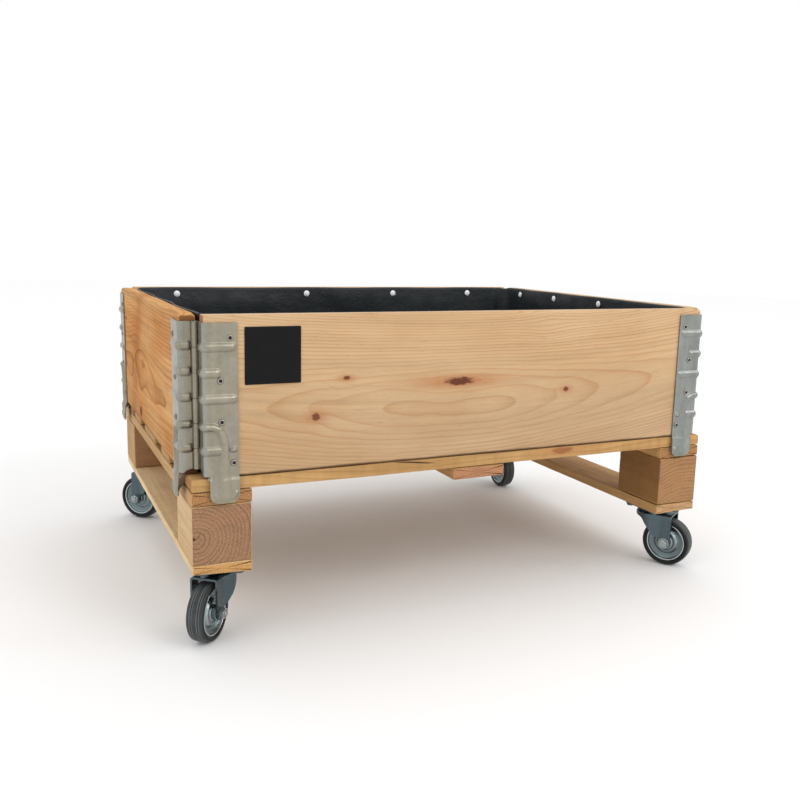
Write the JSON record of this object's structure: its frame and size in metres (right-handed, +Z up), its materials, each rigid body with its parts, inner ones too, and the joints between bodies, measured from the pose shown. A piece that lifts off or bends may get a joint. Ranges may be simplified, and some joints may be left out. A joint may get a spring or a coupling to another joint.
{
  "type": "rolling planter",
  "caption": "Wooden box planter made of a hinged pallet collar with a plastic liner, standing on a small pallet with swivel casters.",
  "frame": {"origin": "on the floor, at the middle of the whole outline from above, with the casters turned as in the picture", "axes": "+X along the long side, +Y towards the back, +Z up"},
  "size_m": [0.8124, 0.6156, 0.415],
  "materials": {
    "pallet_board": "sawn softwood",
    "pallet_block": "sawn softwood, end grain to the front",
    "collar_plank": "planed pine",
    "galvanised_steel": "hot-dip galvanised, dull",
    "caster_steel": "blue zinc plated",
    "liner_film": "black film with a slight sheen",
    "label_black": "smooth black, bare",
    "tyre": "black rubber"
  },
  "bodies": {
    "base": {"deck_board_front": "pallet_board", "deck_board_front_inner": "pallet_board", "deck_board_middle": "pallet_board", "deck_board_back_inner": "pallet_board", "deck_board_back": "pallet_board", "stringer_left": "pallet_board", "stringer_centre": "pallet_board", "stringer_right": "pallet_board", "block_front_left": "pallet_block", "block_front_right": "pallet_block", "block_back_left": "pallet_block", "block_back_right": "pallet_block", "bottom_board_left": "pallet_board", "bottom_board_right": "pallet_board", "caster_plate_front_left": "caster_steel", "caster_kingpin_front_left": "caster_steel", "caster_plate_front_right": "caster_steel", "caster_kingpin_front_right": "caster_steel", "caster_plate_back_left": "caster_steel", "caster_kingpin_back_left": "caster_steel", "caster_plate_back_right": "caster_steel", "caster_kingpin_back_right": "caster_steel"},
    "collar": {"plank_front": "collar_plank", "plank_back": "collar_plank", "plank_left": "collar_plank", "plank_right": "collar_plank", "hinge_leaf_front_left_on_front_plank": "galvanised_steel", "hinge_leaf_front_left_on_left_plank": "galvanised_steel", "hinge_pin_front_left": "galvanised_steel", "hinge_leaf_front_right_on_front_plank": "galvanised_steel", "hinge_leaf_front_right_on_right_plank": "galvanised_steel", "hinge_pin_front_right": "galvanised_steel", "hinge_leaf_back_left_on_back_plank": "galvanised_steel", "hinge_leaf_back_left_on_left_plank": "galvanised_steel", "hinge_pin_back_left": "galvanised_steel", "hinge_leaf_back_right_on_back_plank": "galvanised_steel", "hinge_leaf_back_right_on_right_plank": "galvanised_steel", "hinge_pin_back_right": "galvanised_steel", "liner": "liner_film", "label_plate": "label_black"},
    "fork_front_left": {"caster_fork_front_left": "caster_steel", "axle_bolt_front_left": "caster_steel", "axle_nut_front_left": "caster_steel"},
    "wheel_front_left": {"wheel_rim_front_left": "caster_steel", "wheel_tyre_front_left": "tyre"},
    "fork_front_right": {"caster_fork_front_right": "caster_steel", "axle_bolt_front_right": "caster_steel", "axle_nut_front_right": "caster_steel"},
    "wheel_front_right": {"wheel_rim_front_right": "caster_steel", "wheel_tyre_front_right": "tyre"},
    "fork_back_left": {"caster_fork_back_left": "caster_steel", "axle_bolt_back_left": "caster_steel", "axle_nut_back_left": "caster_steel"},
    "wheel_back_left": {"wheel_rim_back_left": "caster_steel", "wheel_tyre_back_left": "tyre"},
    "fork_back_right": {"caster_fork_back_right": "caster_steel", "axle_bolt_back_right": "caster_steel", "axle_nut_back_right": "caster_steel"},
    "wheel_back_right": {"wheel_rim_back_right": "caster_steel", "wheel_tyre_back_right": "tyre"}
  },
  "joints": [
    {"name": "collar_lift", "type": "slide", "parent": "base", "child": "collar", "axis": [0, 0, 1], "range_m": [0, 0.12]},
    {"name": "swivel_front_left", "type": "hinge", "parent": "base", "child": "fork_front_left", "pos_m": [-0.35322, -0.24734, 0.084], "axis": [0, 0, 1], "continuous": true},
    {"name": "swivel_front_right", "type": "hinge", "parent": "base", "child": "fork_front_right", "pos_m": [0.35658, -0.24734, 0.084], "axis": [0, 0, 1], "continuous": true},
    {"name": "swivel_back_left", "type": "hinge", "parent": "base", "child": "fork_back_left", "pos_m": [-0.35322, 0.25386, 0.084], "axis": [0, 0, 1], "continuous": true},
    {"name": "swivel_back_right", "type": "hinge", "parent": "base", "child": "fork_back_right", "pos_m": [0.35658, 0.25386, 0.084], "axis": [0, 0, 1], "continuous": true},
    {"name": "wheel_spin_front_left", "type": "hinge", "parent": "fork_front_left", "child": "wheel_front_left", "pos_m": [-0.37054, -0.26896, 0.038], "axis": [0.7804, -0.6252, 0], "continuous": true},
    {"name": "wheel_spin_front_right", "type": "hinge", "parent": "fork_front_right", "child": "wheel_front_right", "pos_m": [0.37084, -0.27108, 0.038], "axis": [0.8572, 0.515, 0], "continuous": true},
    {"name": "wheel_spin_back_left", "type": "hinge", "parent": "fork_back_left", "child": "wheel_back_left", "pos_m": [-0.37288, 0.27338, 0.038], "axis": [-0.7046, -0.7096, 0], "continuous": true},
    {"name": "wheel_spin_back_right", "type": "hinge", "parent": "fork_back_right", "child": "wheel_back_right", "pos_m": [0.35508, 0.2262, 0.038], "axis": [0.9985, -0.0541, 0], "continuous": true}
  ]
}
